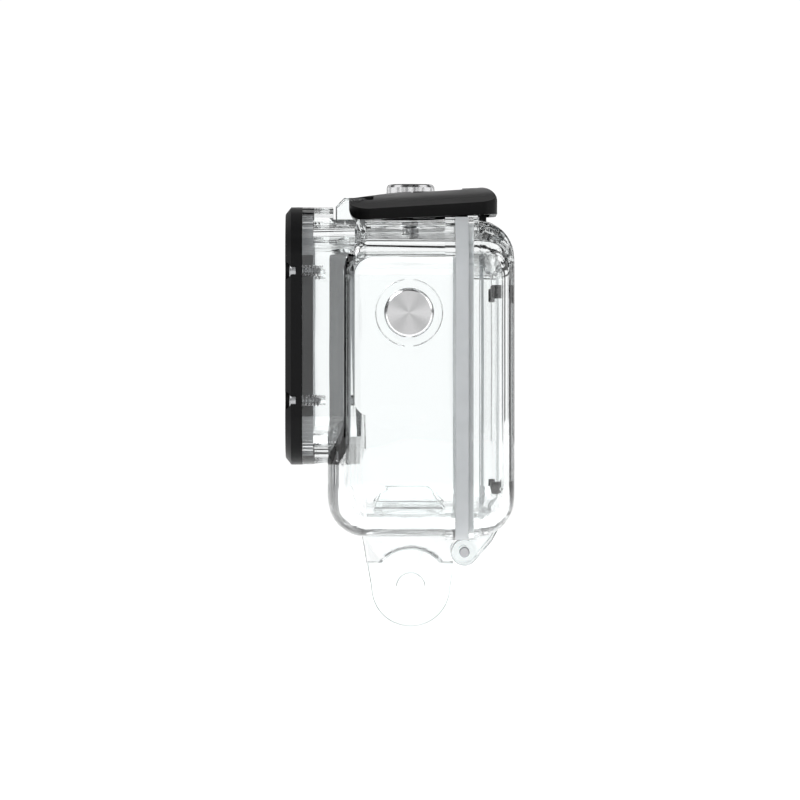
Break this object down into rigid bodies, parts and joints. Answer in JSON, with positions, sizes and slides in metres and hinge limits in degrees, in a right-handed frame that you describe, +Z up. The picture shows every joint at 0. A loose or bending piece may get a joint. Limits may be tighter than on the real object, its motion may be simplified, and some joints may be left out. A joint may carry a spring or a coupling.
{
  "type": "action camera dive housing",
  "caption": "Clear waterproof case for a small action camera, with a screwed lens window, hinged back door, latch, press buttons and mounting prongs.",
  "frame": {"origin": "centre of the thumbscrew bore, between the two prongs", "axes": "+X along the bore, towards the side with the side button; the lens window faces -Y and the back door +Y; +Z up"},
  "size_m": [0.0819, 0.0425, 0.0844],
  "materials": {
    "clear_polycarbonate": "clear moulded polycarbonate, polished",
    "window_glass": "flat polished glass",
    "black_plastic": "black glass-filled plastic, fine satin texture",
    "silicone_gasket": "translucent pale grey silicone",
    "dark_seal": "dark grey rubber",
    "dark_rubber": "black rubber",
    "spun_aluminium": "turned aluminium, fine circular grain",
    "screw_steel": "stainless steel",
    "steel": "stainless steel rod",
    "spring_steel": "drawn stainless wire and strip"
  },
  "bodies": {
    "shell": {"front_shell": "clear_polycarbonate", "lens_frame": "black_plastic", "window_glass": "window_glass", "window_seal": "dark_seal", "frame_screw_1": "screw_steel", "frame_screw_2": "screw_steel", "frame_screw_3": "screw_steel", "frame_screw_4": "screw_steel", "frame_screw_5": "screw_steel", "frame_screw_6": "screw_steel", "frame_screw_7": "screw_steel", "frame_screw_8": "screw_steel", "hinge_pin": "steel", "latch_pin": "steel", "shutter_o_ring": "dark_rubber", "side_o_ring": "dark_rubber", "shutter_spring": "spring_steel", "side_spring": "spring_steel"},
    "door": {"rear_door": "clear_polycarbonate", "door_gasket": "silicone_gasket", "door_pad_1": "dark_rubber", "door_pad_2": "dark_rubber", "door_pad_3": "dark_rubber", "door_pad_4": "dark_rubber"},
    "latch": {"latch_lever": "black_plastic"},
    "lock": {"latch_lock": "black_plastic"},
    "shutter_button": {"shutter_cap": "spun_aluminium", "shutter_stem": "steel", "shutter_clip": "spring_steel", "shutter_tip": "dark_rubber"},
    "side_button": {"side_cap": "spun_aluminium", "side_stem": "steel", "side_clip": "spring_steel", "side_tip": "dark_rubber"}
  },
  "joints": [
    {"name": "door_hinge", "type": "hinge", "parent": "shell", "child": "door", "pos_m": [0, 0.01005, 0.0069], "axis": [-1, 0, 0], "range_deg": [0, 105]},
    {"name": "latch_pivot", "type": "hinge", "parent": "shell", "child": "latch", "pos_m": [0.006, -0.0094, 0.0714], "axis": [1, 0, 0], "range_deg": [0, 90]},
    {"name": "lock_slide", "type": "slide", "parent": "latch", "child": "lock", "axis": [0, 1, 0], "range_m": [0, 0.003]},
    {"name": "shutter_press", "type": "slide", "parent": "shell", "child": "shutter_button", "axis": [0, 0, -1], "range_m": [0, 0.0014], "stiffness_N_per_m": 700, "springref_m": -0.001, "deforming": ["shutter_spring"]},
    {"name": "side_press", "type": "slide", "parent": "shell", "child": "side_button", "axis": [-1, 0, 0], "range_m": [0, 0.0014], "stiffness_N_per_m": 700, "springref_m": -0.001, "deforming": ["side_spring"]}
  ]
}
